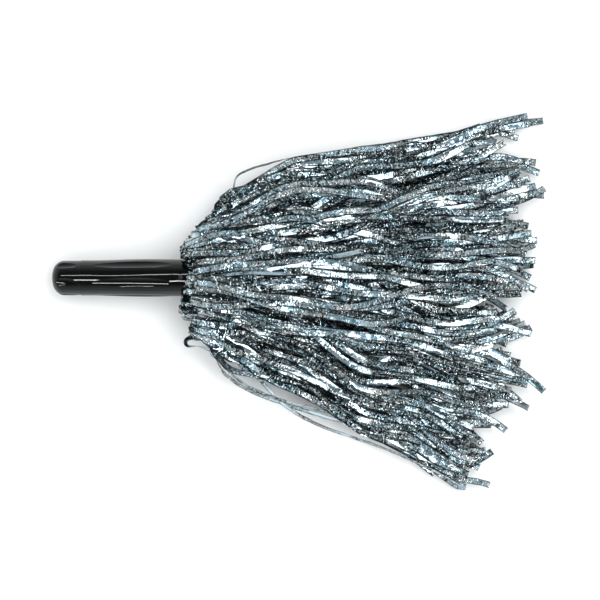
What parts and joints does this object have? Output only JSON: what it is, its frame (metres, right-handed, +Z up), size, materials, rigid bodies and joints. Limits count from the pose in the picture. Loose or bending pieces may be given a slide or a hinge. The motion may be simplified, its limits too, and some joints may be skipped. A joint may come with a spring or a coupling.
{
  "type": "cheer pom pom",
  "caption": "Handheld pom pom: a hollow fluted stick handle with a bunch of long crinkled metallised film streamers folded back round its mouth.",
  "frame": {"origin": "centre of the base of the bounding box, on the surface that the pom pom lies on", "axes": "+Z up, +X from the pommel of the handle to the tips of the streamers, +Y to the left of the handle"},
  "size_m": [0.3921, 0.293, 0.0656],
  "materials": {
    "handle_plastic": "glossy moulded plastic",
    "plug_plastic": "matt moulded plastic",
    "film": "crinkled mirror-bright metallised film",
    "tape": "satin adhesive tape",
    "wire": "bright drawn wire"
  },
  "bodies": {
    "handle": {"handle_grip": "handle_plastic", "core_plug": "plug_plastic", "film_header_inner": "film", "film_header_middle": "film", "film_header_outer": "film", "binding_tape": "tape", "tie_wire": "wire", "crown_loops_top": "film", "crown_loops_upper_right": "film", "crown_loops_lower_right": "film", "crown_loops_bottom": "film", "crown_loops_lower_left": "film", "crown_loops_upper_left": "film", "bottom_tails_right_outer": "film", "bottom_tails_right_inner": "film", "bottom_tails_centre": "film", "bottom_tails_left_inner": "film", "bottom_tails_left_outer": "film"},
    "middle_right_outer": {"middle_tails_right_outer": "film"},
    "top_right_inner": {"top_tails_right_inner": "film"},
    "middle_right_inner": {"middle_tails_right_inner": "film"},
    "top_centre": {"top_tails_centre": "film"},
    "middle_centre": {"middle_tails_centre": "film"},
    "top_left_inner": {"top_tails_left_inner": "film"},
    "middle_left_inner": {"middle_tails_left_inner": "film"},
    "middle_left_outer": {"middle_tails_left_outer": "film"}
  },
  "joints": [
    {"name": "lift_middle_right_outer", "type": "hinge", "parent": "handle", "child": "middle_right_outer", "pos_m": [-0.07314, 0.0175, 0.031], "axis": [0, -1, 0], "range_deg": [0, 60]},
    {"name": "lift_top_right_inner", "type": "hinge", "parent": "handle", "child": "top_right_inner", "pos_m": [-0.07314, 0.0175, 0.031], "axis": [0, -1, 0], "range_deg": [0, 60]},
    {"name": "lift_middle_right_inner", "type": "hinge", "parent": "handle", "child": "middle_right_inner", "pos_m": [-0.07314, 0.0175, 0.031], "axis": [0, -1, 0], "range_deg": [0, 30]},
    {"name": "lift_top_centre", "type": "hinge", "parent": "handle", "child": "top_centre", "pos_m": [-0.07314, 0.0175, 0.031], "axis": [0, -1, 0], "range_deg": [0, 60]},
    {"name": "lift_middle_centre", "type": "hinge", "parent": "handle", "child": "middle_centre", "pos_m": [-0.07314, 0.0175, 0.031], "axis": [0, -1, 0], "range_deg": [0, 30]},
    {"name": "lift_top_left_inner", "type": "hinge", "parent": "handle", "child": "top_left_inner", "pos_m": [-0.07314, 0.0175, 0.031], "axis": [0, -1, 0], "range_deg": [0, 60]},
    {"name": "lift_middle_left_inner", "type": "hinge", "parent": "handle", "child": "middle_left_inner", "pos_m": [-0.07314, 0.0175, 0.031], "axis": [0, -1, 0], "range_deg": [0, 30]},
    {"name": "lift_middle_left_outer", "type": "hinge", "parent": "handle", "child": "middle_left_outer", "pos_m": [-0.07314, 0.0175, 0.031], "axis": [0, -1, 0], "range_deg": [0, 60]}
  ],
  "couplings": [
    {"joint": "lift_middle_right_inner", "follows": "lift_top_right_inner", "ratio": 0.5},
    {"joint": "lift_middle_centre", "follows": "lift_top_centre", "ratio": 0.5},
    {"joint": "lift_middle_left_inner", "follows": "lift_top_left_inner", "ratio": 0.5}
  ]
}
